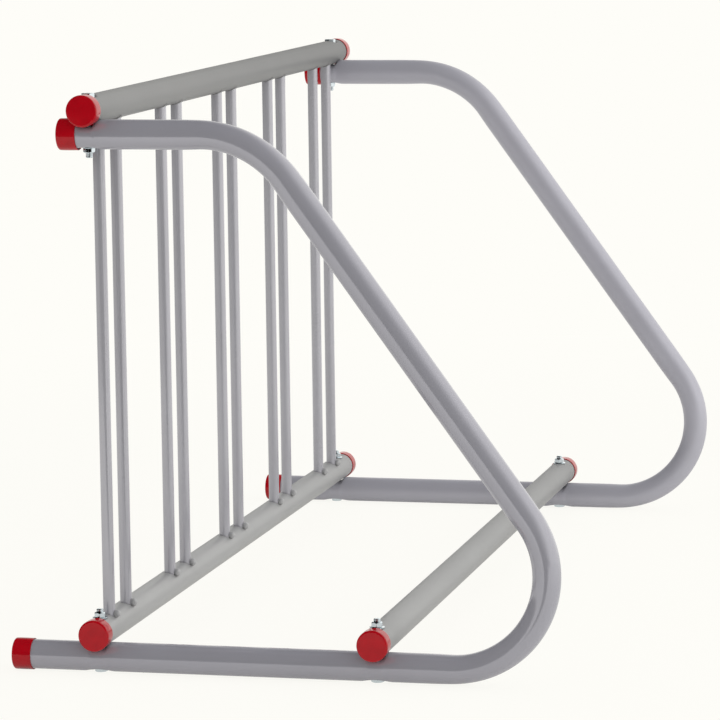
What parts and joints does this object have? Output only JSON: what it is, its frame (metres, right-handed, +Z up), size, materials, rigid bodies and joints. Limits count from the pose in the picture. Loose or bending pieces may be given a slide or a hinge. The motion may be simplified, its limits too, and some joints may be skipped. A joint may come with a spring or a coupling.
{
  "type": "hoop bike rack",
  "caption": "Free-standing bike rack: bent tube hoops at the ends, cross rails bolted over them, and pairs of upright bars that hold a front wheel.",
  "frame": {"origin": "On the ground under the middle of the rack's bounding box.", "axes": "+X along the rails, the longest extent. +Z up. -Y is the front, where the wheels roll in. Left means -X and right means +X."},
  "size_m": [1.5246, 0.801, 0.8314],
  "materials": {
    "hoop_paint": "smooth grey powder coat, satin, a little blue, on bent steel tube",
    "rail_paint": "smooth neutral grey powder coat, satin, on straight steel tube",
    "bar_paint": "smooth grey powder coat, satin, on thin steel tube",
    "cap_vinyl": "glossy red dipped vinyl",
    "zinc_steel": "bright zinc plate with a slight blue cast"
  },
  "bodies": {
    "root": {"left_hoop": "hoop_paint", "right_hoop": "hoop_paint", "top_rail": "rail_paint", "rear_floor_rail": "rail_paint", "front_floor_rail": "rail_paint", "wheel_bar_1": "bar_paint", "wheel_bar_2": "bar_paint", "wheel_bar_3": "bar_paint", "wheel_bar_4": "bar_paint", "wheel_bar_5": "bar_paint", "wheel_bar_6": "bar_paint", "wheel_bar_7": "bar_paint", "wheel_bar_8": "bar_paint", "wheel_bar_9": "bar_paint", "wheel_bar_10": "bar_paint", "foot_welds": "rail_paint", "head_welds": "rail_paint", "left_hoop_floor_cap": "cap_vinyl", "left_hoop_top_cap": "cap_vinyl", "right_hoop_floor_cap": "cap_vinyl", "right_hoop_top_cap": "cap_vinyl", "top_rail_left_cap": "cap_vinyl", "top_rail_right_cap": "cap_vinyl", "rear_floor_rail_left_cap": "cap_vinyl", "rear_floor_rail_right_cap": "cap_vinyl", "front_floor_rail_left_cap": "cap_vinyl", "front_floor_rail_right_cap": "cap_vinyl", "floor_bolts": "zinc_steel", "floor_nuts": "zinc_steel", "top_bolts": "zinc_steel", "top_nuts": "zinc_steel"}
  },
  "joints": []
}
